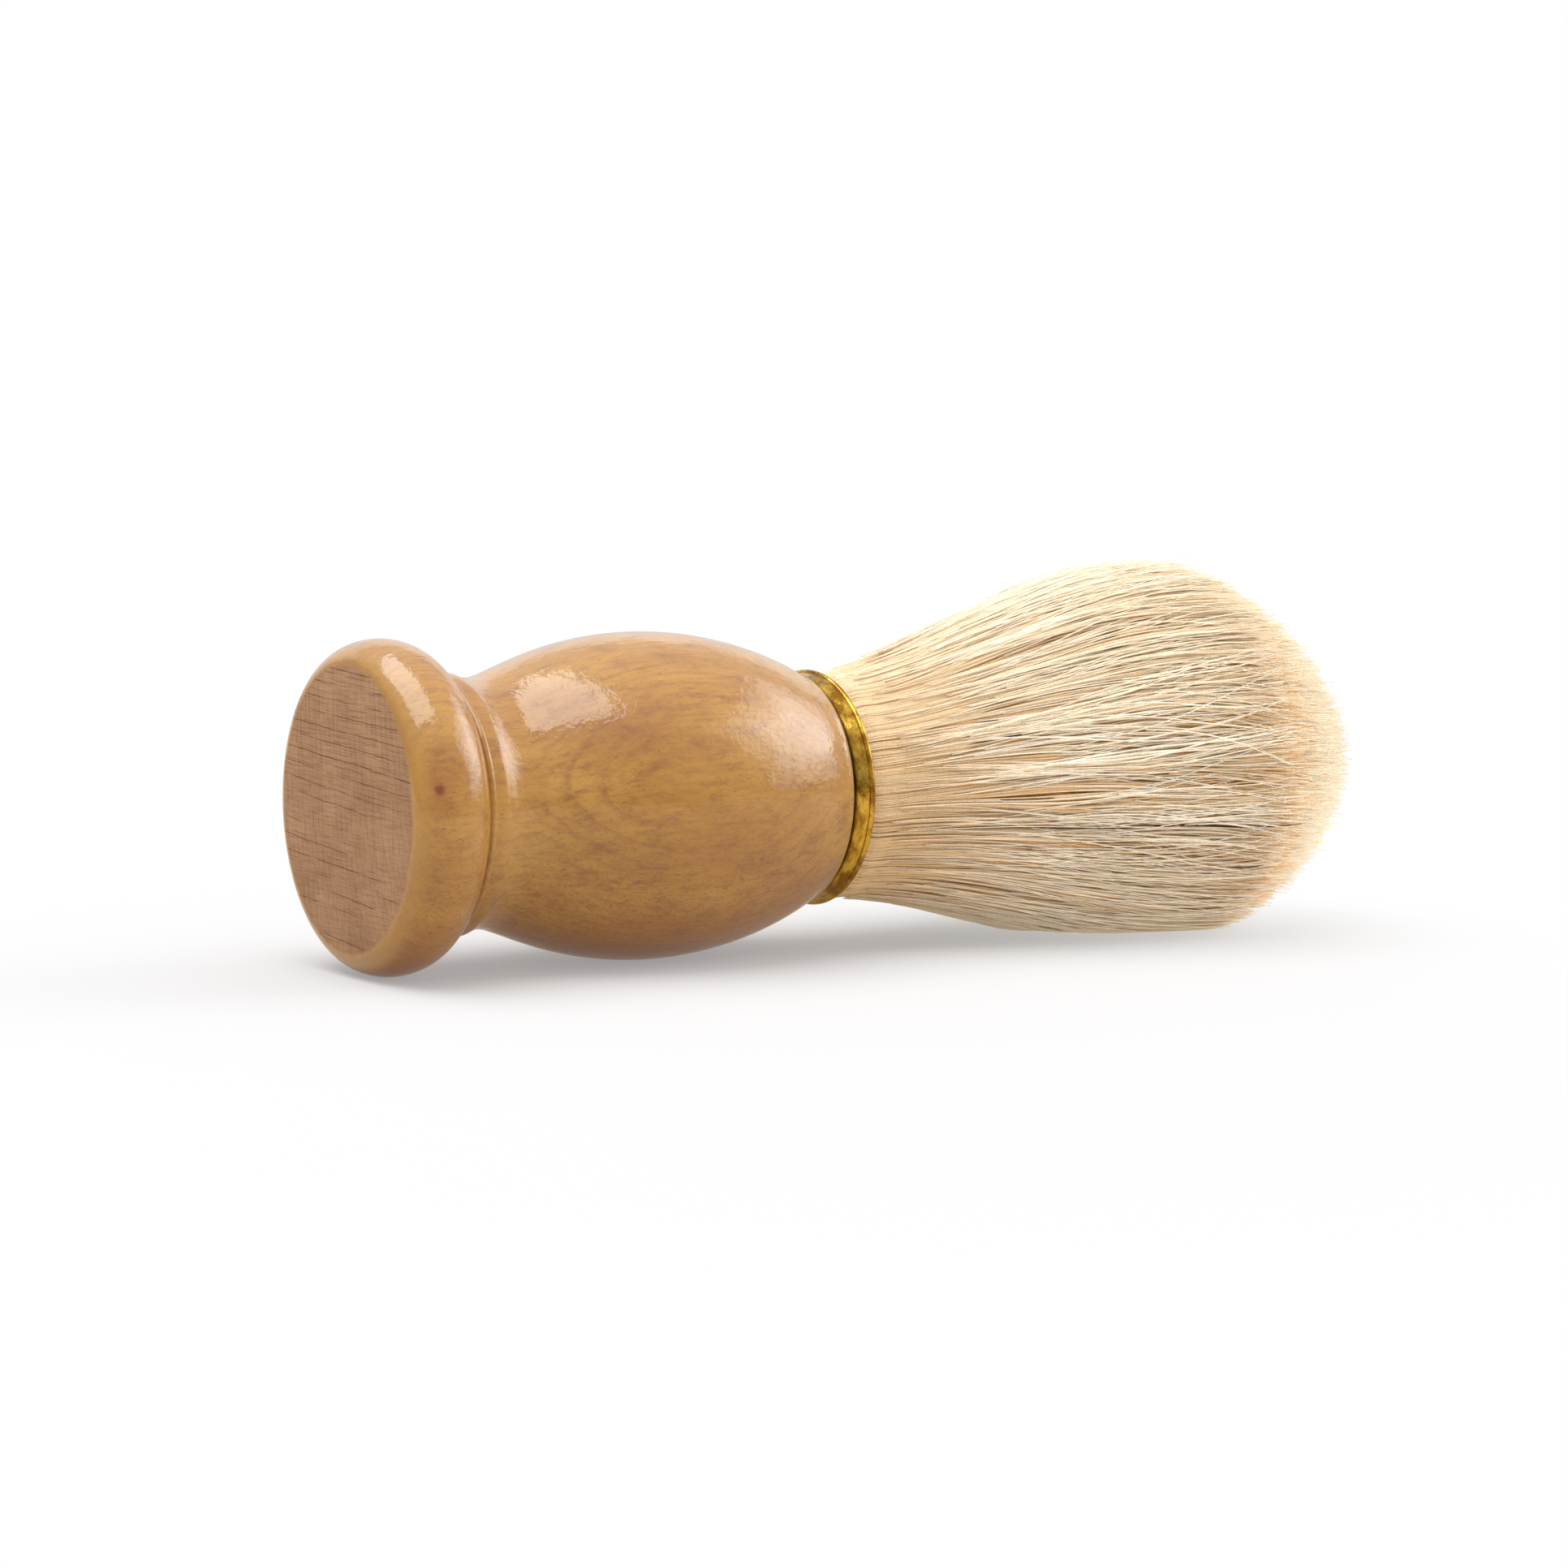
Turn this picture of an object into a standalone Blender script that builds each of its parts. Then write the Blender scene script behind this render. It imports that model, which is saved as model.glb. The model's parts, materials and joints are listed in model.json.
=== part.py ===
"""Shaving brush lying on its side: turned wooden handle, metal collar and bristle knot.

The turning axis runs along +X, from the flat foot to the bristle tips, and +Z is up.
The brush rests on its foot flange, its barrel and the flattened underside of its bristles. The
barrel is a little fatter than the flange, so the axis rises slightly towards the bristles.
The origin is under the middle of the brush, on the surface that it lies on.
Lengths are in metres. On the turned pieces, "along" is the distance from the flat end of the foot.
"""

from math import asin, atan, cos, pi, sin, tan

import bmesh
import bpy
from mathutils import Vector

MM = 0.001

# Overall
BRUSH_LENGTH = 110.0 * MM
SEGMENTS = 48
INNER_SEGMENTS = 32
GAP = 0.3 * MM

# Foot flange
FOOT_FACE_RADIUS = 12.4 * MM
FOOT_RADIUS = 14.7 * MM
FOOT_EDGE_LENGTH = 3.5 * MM
FOOT_BACK_LENGTH = 4.2 * MM
FOOT_BACK_DROP = 3.6 * MM
FOOT_BACK_ANGLE = 0.067 * pi

# Groove and bead behind the flange
GROOVE_DEPTH = 0.25 * MM
GROOVE_WIDTH = 0.3 * MM
BEAD_RADIUS = 0.34 * MM
BEAD_SINK = 0.12 * MM

# Neck and barrel
NECK_ALONG = 12.0 * MM
NECK_RADIUS = 11.1 * MM
COVE_RADIUS = 5.1 * MM
TAPER_ANGLE = 20.0 * pi / 180.0
BARREL_ALONG = 29.2 * MM
BARREL_RADIUS = 14.85 * MM
SHOULDER_RADIUS = 35.3 * MM

# Mouth and socket
MOUTH_ALONG = 45.7 * MM
MOUTH_ROUND = 0.45 * MM
SOCKET_RADIUS = 9.9 * MM
SOCKET_DEPTH = 16.0 * MM

# Collar
SLEEVE_LENGTH = 5.0 * MM
SLEEVE_WALL = 0.45 * MM
BAND_START_RADIUS = 10.35 * MM
BAND_END_RADIUS = 10.72 * MM
BAND_LENGTH = 1.35 * MM
LIP_RADIUS = 0.3 * MM
LIP_OUTER_RADIUS = 10.98 * MM

# Bristle knot
ROOT_RADIUS = 8.3 * MM
KNOT_NECK_RADIUS = 10.3 * MM
BULB_RADIUS = 18.7 * MM
BULB_ALONG = 88.7 * MM
FLARE_POWER = 1.6
DOME_POWER = 1.55
LIFT = 1.65 * MM
LIFT_START = 48.5 * MM
LIFT_LENGTH = 34.5 * MM

# Root fittings in the socket
GLUE_THICKNESS = 0.9 * MM
GLUE_RIM_HEIGHT = 2.4 * MM
GLUE_WALL = 0.4 * MM
PLUG_HEIGHT = 3.6 * MM
THREAD_TURNS = 6
THREAD_RADIUS = 0.35 * MM
THREAD_LIFT_OFF = 0.8 * MM

# Worked out from the above. The lowest facets of the flange and of the barrel touch the surface.
FACET_DEPTH = cos(pi / SEGMENTS)
LEAN = atan((BARREL_RADIUS - FOOT_RADIUS) * FACET_DEPTH / (BARREL_ALONG - FOOT_EDGE_LENGTH))
FOOT_HEIGHT = FOOT_RADIUS * FACET_DEPTH * cos(LEAN) - FOOT_EDGE_LENGTH * sin(LEAN)
SOCKET_FLOOR = MOUTH_ALONG - SOCKET_DEPTH
SLEEVE_OUTER = SOCKET_RADIUS - GAP
SLEEVE_INNER = SLEEVE_OUTER - SLEEVE_WALL
SLEEVE_START = MOUTH_ALONG - SLEEVE_LENGTH
BAND_START = MOUTH_ALONG + GAP
BAND_END = BAND_START + BAND_LENGTH
LIP_ALONG = BAND_END + LIP_RADIUS
COLLAR_END = LIP_ALONG + LIP_RADIUS
PLUG_START = SOCKET_FLOOR + GAP + GLUE_THICKNESS + GAP
ROOT_START = PLUG_START + PLUG_HEIGHT + GAP


def clear_scene():
    for item in list(bpy.data.objects):
        bpy.data.objects.remove(item, do_unlink=True)


def plain_material(name, color, roughness, metallic=0.0):
    material = bpy.data.materials.new(name)
    material.use_nodes = True
    shader = material.node_tree.nodes["Principled BSDF"]
    shader.inputs["Base Color"].default_value = (*color, 1.0)
    shader.inputs["Roughness"].default_value = roughness
    shader.inputs["Metallic"].default_value = metallic
    return material


def arc(center, radii, start, end, steps):
    """Points of an ellipse's arc as (along, radius), angles in radians from the +along direction."""
    points = []
    for step in range(steps + 1):
        angle = start + (end - start) * step / steps
        points.append((center[0] + radii[0] * cos(angle), center[1] + radii[1] * sin(angle)))
    return points


def add_object(name, mesh_builder, material, parent):
    mesh = bpy.data.meshes.new(name)
    bmesh.ops.remove_doubles(mesh_builder, verts=mesh_builder.verts, dist=1e-7)
    bmesh.ops.recalc_face_normals(mesh_builder, faces=mesh_builder.faces)
    mesh_builder.to_mesh(mesh)
    mesh_builder.free()
    mesh.shade_smooth()
    mesh.set_sharp_from_angle(angle=35.0 * pi / 180.0)
    mesh.materials.append(material)
    piece = bpy.data.objects.new(name, mesh)
    piece.parent = parent
    bpy.context.collection.objects.link(piece)
    return piece


def turned(name, outline, material, parent, segments=SEGMENTS, is_ring=False):
    """Turn an outline of (along, radius) points about the X axis, with a flat facet at the bottom.

    A solid's outline starts and ends on the axis. A ring's outline is a loop that stays off it.
    """
    builder = bmesh.new()
    half_step = pi / segments
    profile = [builder.verts.new((along, radius * sin(half_step), -radius * cos(half_step)))
               for along, radius in outline]
    count = len(profile)
    last = count if is_ring else count - 1
    edges = [builder.edges.new((profile[i], profile[(i + 1) % count])) for i in range(last)]
    bmesh.ops.spin(builder, geom=profile + edges, cent=(0.0, 0.0, 0.0), axis=(1.0, 0.0, 0.0),
                   dvec=(0.0, 0.0, 0.0), angle=2.0 * pi, steps=segments, use_merge=True, use_duplicate=False)
    return add_object(name, builder, material, parent)


def shoulder_arc_radius():
    """Radius of the barrel's long arc towards the foot, so that it meets the neck's straight taper."""
    taper_start = NECK_ALONG + COVE_RADIUS * sin(TAPER_ANGLE)
    taper_radius = NECK_RADIUS + COVE_RADIUS * (1.0 - cos(TAPER_ANGLE))
    rise = BARREL_RADIUS - taper_radius - tan(TAPER_ANGLE) * (BARREL_ALONG - taper_start)
    return rise / ((1.0 - cos(TAPER_ANGLE)) - tan(TAPER_ANGLE) * sin(TAPER_ANGLE))


def handle_outline():
    foot_edge = arc((FOOT_EDGE_LENGTH, FOOT_FACE_RADIUS), (FOOT_EDGE_LENGTH, FOOT_RADIUS - FOOT_FACE_RADIUS),
                    pi, 0.5 * pi, 6)
    foot_back = arc((FOOT_EDGE_LENGTH, FOOT_RADIUS - FOOT_BACK_DROP), (FOOT_BACK_LENGTH, FOOT_BACK_DROP),
                    0.5 * pi, FOOT_BACK_ANGLE, 4)
    groove_along, groove_top = foot_back[-1]
    groove_radius = groove_top - GROOVE_DEPTH
    groove = [(groove_along + 0.2 * GROOVE_WIDTH, groove_radius),
              (groove_along + GROOVE_WIDTH, groove_radius)]
    bead_center = (groove_along + GROOVE_WIDTH + BEAD_RADIUS, groove_radius - BEAD_SINK)
    bead = arc(bead_center, (BEAD_RADIUS, BEAD_RADIUS), 0.85 * pi, 0.15 * pi, 4)

    # The cove starts where its circle has the bead's outer radius.
    cove_center = (NECK_ALONG, NECK_RADIUS + COVE_RADIUS)
    cove_start = pi + asin((cove_center[1] - bead[-1][1]) / COVE_RADIUS)
    cove = arc(cove_center, (COVE_RADIUS, COVE_RADIUS), cove_start, 1.5 * pi + TAPER_ANGLE, 9)

    rise_radius = shoulder_arc_radius()
    rise = arc((BARREL_ALONG, BARREL_RADIUS - rise_radius), (rise_radius, rise_radius),
               0.5 * pi + TAPER_ANGLE, 0.5 * pi, 7)
    round_along = MOUTH_ALONG - MOUTH_ROUND
    fall_angle = asin((round_along - BARREL_ALONG) / SHOULDER_RADIUS)
    fall = arc((BARREL_ALONG, BARREL_RADIUS - SHOULDER_RADIUS), (SHOULDER_RADIUS, SHOULDER_RADIUS),
               0.5 * pi, 0.5 * pi - fall_angle, 8)
    mouth = arc((round_along, fall[-1][1] - MOUTH_ROUND), (MOUTH_ROUND, MOUTH_ROUND), 0.3 * pi, 0.0, 3)
    socket = [(MOUTH_ALONG, SOCKET_RADIUS), (SOCKET_FLOOR, SOCKET_RADIUS), (SOCKET_FLOOR, 0.0)]
    return [(0.0, 0.0)] + foot_edge + foot_back[1:] + groove + bead + cove + rise + fall[1:] + mouth + socket


def collar_outline():
    sleeve = [(BAND_START, SLEEVE_INNER), (SLEEVE_START, SLEEVE_INNER), (SLEEVE_START, SLEEVE_OUTER),
              (BAND_START, SLEEVE_OUTER)]
    band = [(BAND_START, BAND_START_RADIUS), (BAND_END, BAND_END_RADIUS)]
    lip_center = (LIP_ALONG, LIP_OUTER_RADIUS - LIP_RADIUS)
    lip = arc(lip_center, (LIP_RADIUS, LIP_RADIUS), 0.75 * pi, -0.5 * pi, 6)
    return sleeve + band + lip


def flare_radius(along):
    """Radius of the bristle bulb at a distance along the axis, from the collar's lip to the tips."""
    if along <= BULB_ALONG:
        share = max(0.0, (along - COLLAR_END) / (BULB_ALONG - COLLAR_END))
        return KNOT_NECK_RADIUS + (BULB_RADIUS - KNOT_NECK_RADIUS) * sin(0.5 * pi * share) ** FLARE_POWER
    share = min(1.0, (along - BULB_ALONG) / (BRUSH_LENGTH - BULB_ALONG))
    return BULB_RADIUS * (1.0 - share ** DOME_POWER) ** (1.0 / DOME_POWER)


def lift_at(along):
    """How far the surface under the brush pushes the bristles' middle line up."""
    if along <= LIFT_START:
        return 0.0
    return LIFT * sin(0.5 * pi * (along - LIFT_START) / LIFT_LENGTH)


def surface_at(along):
    """Height of the surface that the brush lies on, measured from the leaning axis."""
    return -(FOOT_HEIGHT + along * sin(LEAN)) / cos(LEAN)


def knot_stations():
    """Cross-sections of the knot as (along, radius), from the root to just short of the tip."""
    waist = SLEEVE_INNER - GAP
    stations = [(ROOT_START, ROOT_RADIUS), (SLEEVE_START - 0.6 * MM, ROOT_RADIUS), (SLEEVE_START + 0.6 * MM, waist)]
    stations += [(BAND_START, waist), (COLLAR_END, KNOT_NECK_RADIUS)]
    flare_steps = 12
    for step in range(1, flare_steps + 1):
        along = COLLAR_END + (BULB_ALONG - COLLAR_END) * step / flare_steps
        stations.append((along, flare_radius(along)))
    dome_steps = 9
    for step in range(1, dome_steps):
        along = BULB_ALONG + (BRUSH_LENGTH - BULB_ALONG) * sin(0.5 * pi * step / dome_steps)
        stations.append((along, flare_radius(along)))
    return stations


def bristle_knot(material, parent):
    """Loft the bundle along its lifted middle line and flatten its underside on the surface."""
    builder = bmesh.new()
    loops = []
    for along, radius in knot_stations():
        loop = []
        for step in range(SEGMENTS):
            angle = 2.0 * pi * (step + 0.5) / SEGMENTS
            height = lift_at(along) + radius * cos(angle)
            loop.append(builder.verts.new((along, radius * sin(angle), max(height, surface_at(along)))))
        loops.append(loop)
    for near, far in zip(loops, loops[1:]):
        for step in range(SEGMENTS):
            after = (step + 1) % SEGMENTS
            builder.faces.new((near[step], near[after], far[after], far[step]))
    builder.faces.new(loops[0])
    tip = builder.verts.new((BRUSH_LENGTH, 0.0, lift_at(BRUSH_LENGTH)))
    for step in range(SEGMENTS):
        builder.faces.new((loops[-1][step], loops[-1][(step + 1) % SEGMENTS], tip))
    return add_object("bristle_knot", builder, material, parent)


def glue_outline():
    bottom = SOCKET_FLOOR + GAP
    outer = SOCKET_RADIUS - GAP
    inner = outer - GLUE_WALL
    return [(bottom, 0.0), (bottom, outer), (bottom + GLUE_RIM_HEIGHT, outer), (bottom + GLUE_RIM_HEIGHT, inner),
            (bottom + GLUE_THICKNESS, inner), (bottom + GLUE_THICKNESS, 0.0)]


def plug_outline():
    radius = SOCKET_RADIUS - GAP - GLUE_WALL - GAP
    top = PLUG_START + PLUG_HEIGHT
    edge = arc((top - 0.6 * MM, radius - 0.6 * MM), (0.6 * MM, 0.6 * MM), 0.5 * pi, 0.0, 3)
    return [(PLUG_START, 0.0), (PLUG_START, radius)] + edge + [(top, 0.0)]


def thread_outline():
    """A close winding of thread as one ring, with a round ridge for each turn."""
    inner = ROOT_RADIUS + GAP
    start = ROOT_START + THREAD_LIFT_OFF
    ridge_base = inner + THREAD_RADIUS
    outline = [(start, inner)]
    for turn in range(THREAD_TURNS):
        center = (start + (2 * turn + 1) * THREAD_RADIUS, ridge_base)
        outline += arc(center, (0.98 * THREAD_RADIUS, 0.98 * THREAD_RADIUS), pi, 0.0, 4)
    outline.append((start + 2 * THREAD_TURNS * THREAD_RADIUS, inner))
    return outline


def center_along_x(frame, pieces):
    """Slide the whole brush along X, so that its bounding box is centred over the origin."""
    bpy.context.view_layer.update()
    along_x = [(piece.matrix_world @ Vector(corner)).x for piece in pieces for corner in piece.bound_box]
    frame.location.x -= 0.5 * (min(along_x) + max(along_x))


def build():
    clear_scene()
    frame = bpy.data.objects.new("brush_axis", None)
    frame.location = (0.0, 0.0, FOOT_HEIGHT)
    frame.rotation_euler = (0.0, -LEAN, 0.0)
    bpy.context.collection.objects.link(frame)

    wood = plain_material("lacquered_wood", (0.52, 0.27, 0.10), 0.25)
    brass = plain_material("gold_brass", (0.85, 0.58, 0.18), 0.25, 1.0)
    bristle = plain_material("cream_bristle", (0.80, 0.62, 0.40), 0.55)
    thread = plain_material("cotton_thread", (0.75, 0.70, 0.60), 0.85)
    resin = plain_material("amber_resin", (0.55, 0.32, 0.10), 0.30)
    glue = plain_material("clear_glue", (0.72, 0.66, 0.50), 0.35)

    pieces = [
        turned("handle", handle_outline(), wood, frame),
        turned("ferrule_ring", collar_outline(), brass, frame, is_ring=True),
        bristle_knot(bristle, frame),
        turned("binding_thread", thread_outline(), thread, frame, INNER_SEGMENTS, is_ring=True),
        turned("resin_plug", plug_outline(), resin, frame, INNER_SEGMENTS),
        turned("glue_bed", glue_outline(), glue, frame, INNER_SEGMENTS),
    ]
    center_along_x(frame, pieces)


build()
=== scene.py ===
"""Looks of the shaving brush: turned and lacquered wooden handle, gold collar, natural bristles.

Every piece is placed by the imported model. Shapes are worked out in the handle's own axes, in
millimetres: X ("along") runs from the flat end of the foot down the turning axis to the bristle
tips, Z is up and -Y is the side that faces the camera. "Angle" is measured round the axis, from
straight up towards -Y.
"""

import json
from math import ceil, cos, pi, radians, sin

import bpy
import numpy as np
from mathutils import Matrix, Vector


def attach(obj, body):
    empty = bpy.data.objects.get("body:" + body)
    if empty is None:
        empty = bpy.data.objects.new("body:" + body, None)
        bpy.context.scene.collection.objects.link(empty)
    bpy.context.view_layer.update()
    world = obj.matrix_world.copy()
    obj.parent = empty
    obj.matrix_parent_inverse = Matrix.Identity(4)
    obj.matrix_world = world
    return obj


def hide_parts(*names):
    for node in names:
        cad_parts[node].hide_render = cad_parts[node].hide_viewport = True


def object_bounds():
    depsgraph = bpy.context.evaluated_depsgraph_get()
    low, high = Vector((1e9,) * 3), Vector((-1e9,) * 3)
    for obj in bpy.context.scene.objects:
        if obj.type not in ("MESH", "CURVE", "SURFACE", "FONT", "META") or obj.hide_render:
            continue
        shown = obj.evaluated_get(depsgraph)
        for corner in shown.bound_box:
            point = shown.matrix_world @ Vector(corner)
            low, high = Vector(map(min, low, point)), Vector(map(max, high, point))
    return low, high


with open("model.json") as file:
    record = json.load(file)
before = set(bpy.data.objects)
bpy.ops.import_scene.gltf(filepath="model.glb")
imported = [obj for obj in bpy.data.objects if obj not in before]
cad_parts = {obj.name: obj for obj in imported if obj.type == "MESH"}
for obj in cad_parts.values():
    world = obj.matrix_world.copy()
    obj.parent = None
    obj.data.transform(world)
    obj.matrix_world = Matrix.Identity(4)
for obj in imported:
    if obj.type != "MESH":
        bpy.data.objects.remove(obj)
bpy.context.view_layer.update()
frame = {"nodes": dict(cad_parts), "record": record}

MM = 0.001
SEED = 7

# Turned pieces. An outline that turns by more than the corner angle keeps its corner there
HANDLE_SEGMENTS = 240
COLLAR_SEGMENTS = 288
HANDLE_SPACING = 0.3
COLLAR_SPACING = 0.1
CORNER_ANGLE = radians(45.0)
SHARP_ANGLE = radians(38.0)

# Wood: growth rings are nearly flat sheets, so the bulge of the barrel cuts them in ovals. The
# flange has one pin knot, and the face of the foot is bare wood out to the bare radius
GRAIN_ALONG = 27.5
GRAIN_ANGLE = radians(75.5)
GRAIN_TILT = -0.05
PITH_DISTANCE = 55.0
RING_SPACING = 0.92
PIN_KNOT_ALONG = 1.85
PIN_KNOT_RADIUS = 14.2
PIN_KNOT_ANGLE = radians(78.5)
BARE_RADIUS = 12.9

# Bristles: their number, and the section of one as (sideways, outward) shares of its thickness
SURFACE_STRANDS = 5000
INNER_STRANDS = 12400
STRAY_STRANDS = 1400
STRAND_SECTION = ((0.0, 0.75), (-1.05, -0.35), (1.05, -0.35))
STRAND_SIDES = len(STRAND_SECTION)
STRAND_RADIUS = (0.062, 0.098)
STRAND_START = 45.8
FLOOR_GAP = 0.06

# How the bristles lie: where they part into locks and where they start to fray, how far they
# part in radians, and how far they stand up and bend in millimetres
OPENING = (48.0, 74.0)
FRAY_START = 52.0
PARTING_TURN = 0.34
LOCK_RELIEF = 2.8
SIDE_BEND = 0.62
SIDE_WIGGLE = 0.14
OUTWARD_BEND = 0.36

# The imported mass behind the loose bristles: its radius and its dome's depth as shares of the
# knot's, and its ribs as a share of its own radius
CORE_SHARE = 0.955
CORE_DOME = 0.90
CORE_RIBS = 0.10

# Camera: where it aims, from how far, and how it is turned
AIM = Vector((-0.00999, 0.0, 0.01531))
CAMERA_DISTANCE = 0.3394
CAMERA_AZIMUTH = radians(-32.97)
CAMERA_ELEVATION = radians(5.0)
CAMERA_ROLL = radians(0.88)
LENS_MM = 83.85

# Floor: where it is greyest, in metres, from where to where it turns white, and how much of its
# white glow reaches the brush
FLOOR_GREY_CENTRE = (-0.030, -0.030, 0.0)
FLOOR_FADE = (0.035, 0.115)
BOUNCED_GLOW = 0.8


def turning_axis():
    """Where the handle's own axes lie in the frame, from the flat face of the foot."""
    mount = next(m for m in frame["record"]["mounts"] if m["name"] == "foot_face")
    along = -Vector(mount["axis"]).normalized()
    across = Vector((0.0, 1.0, 0.0))
    rotation = Matrix((along, across, along.cross(across))).transposed()
    return Matrix.Translation(mount["pos_m"]) @ rotation.to_4x4() @ Matrix.Scale(MM, 4)


AXIS = turning_axis()


def to_frame(points):
    """Points of the handle's own axes, in millimetres, as points of the frame, in metres."""
    matrix = np.array(AXIS)
    return points @ matrix[:3, :3].T + matrix[:3, 3]


def node_points(node):
    """A CAD node's vertices in the handle's own axes."""
    mesh = frame["nodes"][node].data
    points = np.empty(len(mesh.vertices) * 3)
    mesh.vertices.foreach_get("co", points)
    inverse = np.array(AXIS.inverted())
    return points.reshape(-1, 3) @ inverse[:3, :3].T + inverse[:3, 3]


# ---------------------------------------------------------------- outlines


def turned_outline(node):
    """The outline that a turned CAD node was spun from, as (along, radius) rows in order."""
    points = node_points(node)
    radius = np.hypot(points[:, 1], points[:, 2])
    angle = np.arctan2(points[:, 1], -points[:, 2])
    meridian = angle[np.argmax(radius)]
    same_angle, on_axis, same_place = 0.02, 0.01, 0.002
    chosen = np.where((np.abs(angle - meridian) < same_angle) & (radius > on_axis))[0]

    corners, corner_of = [], {}
    for index in chosen:
        place = (points[index, 0], radius[index])
        near = [i for i, c in enumerate(corners)
                if np.hypot(c[0] - place[0], c[1] - place[1]) < same_place]
        if not near:
            corners.append(place)
            near = [len(corners) - 1]
        corner_of[int(index)] = near[0]

    beside = {i: set() for i in range(len(corners))}
    for edge in frame["nodes"][node].data.edges:
        start, end = (corner_of.get(v) for v in edge.vertices)
        if start is not None and end is not None and start != end:
            beside[start].add(end)
            beside[end].add(start)

    ends = [i for i in beside if len(beside[i]) == 1]
    current = min(ends or beside, key=lambda i: corners[i])
    order = [current]
    while True:
        ahead = [i for i in sorted(beside[current]) if i not in order]
        if not ahead:
            break
        current = ahead[0]
        order.append(current)
    return np.array([corners[i] for i in order])


def curve_through(points, spacing):
    """A smooth curve through the points (Catmull-Rom), with one new point about every spacing."""
    before = 2.0 * points[0] - points[1]
    after = 2.0 * points[-1] - points[-2]
    padded = np.vstack((before, points, after))
    made = []
    for p0, p1, p2, p3 in zip(padded, padded[1:], padded[2:], padded[3:]):
        gaps = (p1 - p0, p2 - p1, p3 - p2)
        d01, d12, d23 = (max(np.hypot(*gap), 1e-6) for gap in gaps)
        tangent_1 = ((p1 - p0) / d01 * d12 + (p2 - p1) / d12 * d01) / (d01 + d12) * d12
        tangent_2 = ((p2 - p1) / d12 * d23 + (p3 - p2) / d23 * d12) / (d12 + d23) * d12
        steps = max(1, ceil(d12 / spacing))
        for t in np.arange(steps) / steps:
            made.append((2 * t**3 - 3 * t**2 + 1) * p1 + (t**3 - 2 * t**2 + t) * tangent_1
                        + (3 * t**2 - 2 * t**3) * p2 + (t**3 - t**2) * tangent_2)
    return np.array(made + [points[-1]])


def smooth_outline(points, spacing, is_ring=False):
    """The outline with its round stretches made smooth and its corners kept. A ring's outline is
    closed, and goes round in the direction that makes its skin face out."""
    if is_ring:
        points = np.vstack((points, points[:1]))
        doubled_area = np.sum(points[:-1, 0] * points[1:, 1] - points[1:, 0] * points[:-1, 1])
        if doubled_area > 0.0:
            points = points[::-1]
    steps = np.diff(points, axis=0)
    heading = np.arctan2(steps[:, 1], steps[:, 0])
    turn = np.abs((np.diff(heading) + pi) % (2.0 * pi) - pi)
    corners = [0] + [int(i) + 1 for i in np.where(turn > CORNER_ANGLE)[0]] + [len(points) - 1]
    made = []
    for start, end in zip(corners, corners[1:]):
        made.append(curve_through(points[start:end + 1], spacing)[:-1])
    if not is_ring:
        made.append(points[-1:])
    return np.vstack(made)


# ---------------------------------------------------------------- meshes


def add_mesh(name, points, faces, material, node):
    """A smooth-shaded piece from points in the handle's own axes, which stands for a CAD node."""
    mesh = bpy.data.meshes.new(name)
    mesh.from_pydata(to_frame(points), [], faces)
    mesh.shade_smooth()
    mesh.materials.append(material)
    piece = bpy.data.objects.new(name, mesh)
    bpy.context.scene.collection.objects.link(piece)
    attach(piece, "root")
    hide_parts(node)
    return piece


def spin(outline, segments):
    """Points of an outline turned round the axis, one row of segments for each outline point."""
    angles = 2.0 * pi * np.arange(segments) / segments
    along = np.repeat(outline[:, 0], segments)
    across = np.outer(outline[:, 1], -np.sin(angles)).ravel()
    height = np.outer(outline[:, 1], np.cos(angles)).ravel()
    return np.column_stack((along, across, height))


def skin(rows, segments, is_ring=False):
    """Quads between neighbouring rows of points, facing out where along grows with the rows.
    A ring's last row is joined to its first."""
    step = np.arange(segments)
    after = (step + 1) % segments
    quads = []
    for row in range(rows if is_ring else rows - 1):
        near = row * segments
        far = ((row + 1) % rows) * segments
        quads.append(np.column_stack((near + step, near + after, far + after, far + step)))
    return np.vstack(quads).tolist()


def closed_tube(points, segments, first_centre, last_centre):
    """Points and faces of a solid: the skin over rows of points, and a fan on each end."""
    faces = skin(len(points) // segments, segments)
    first, last = len(points), len(points) + 1
    end = len(points) - segments
    for step in range(segments):
        after = (step + 1) % segments
        faces.append((first, after, step))
        faces.append((last, end + step, end + after))
    return np.vstack((points, first_centre, last_centre)), faces


def turned_piece(name, node, segments, spacing, material, is_ring=False):
    """A fine copy of a turned CAD node, which is a ring or a solid with ends on the axis."""
    outline = smooth_outline(turned_outline(node), spacing, is_ring)
    points = spin(outline, segments)
    if is_ring:
        faces = skin(len(outline), segments, is_ring)
    else:
        start, end = ((along, 0.0, 0.0) for along in (outline[0, 0], outline[-1, 0]))
        points, faces = closed_tube(points, segments, start, end)
    piece = add_mesh(name, points, faces, material, node)
    piece.data.set_sharp_from_angle(angle=SHARP_ANGLE)


# ---------------------------------------------------------------- material recipes


def new_node(tree, kind, **settings):
    """A shader node with its settings."""
    node = tree.nodes.new(kind)
    for key, value in settings.items():
        setattr(node, key, value)
    return node


def feed(tree, socket, value):
    """Links the socket to another one, or sets it to a plain value."""
    if isinstance(value, bpy.types.NodeSocket):
        tree.links.new(value, socket)
    else:
        socket.default_value = value


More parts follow.
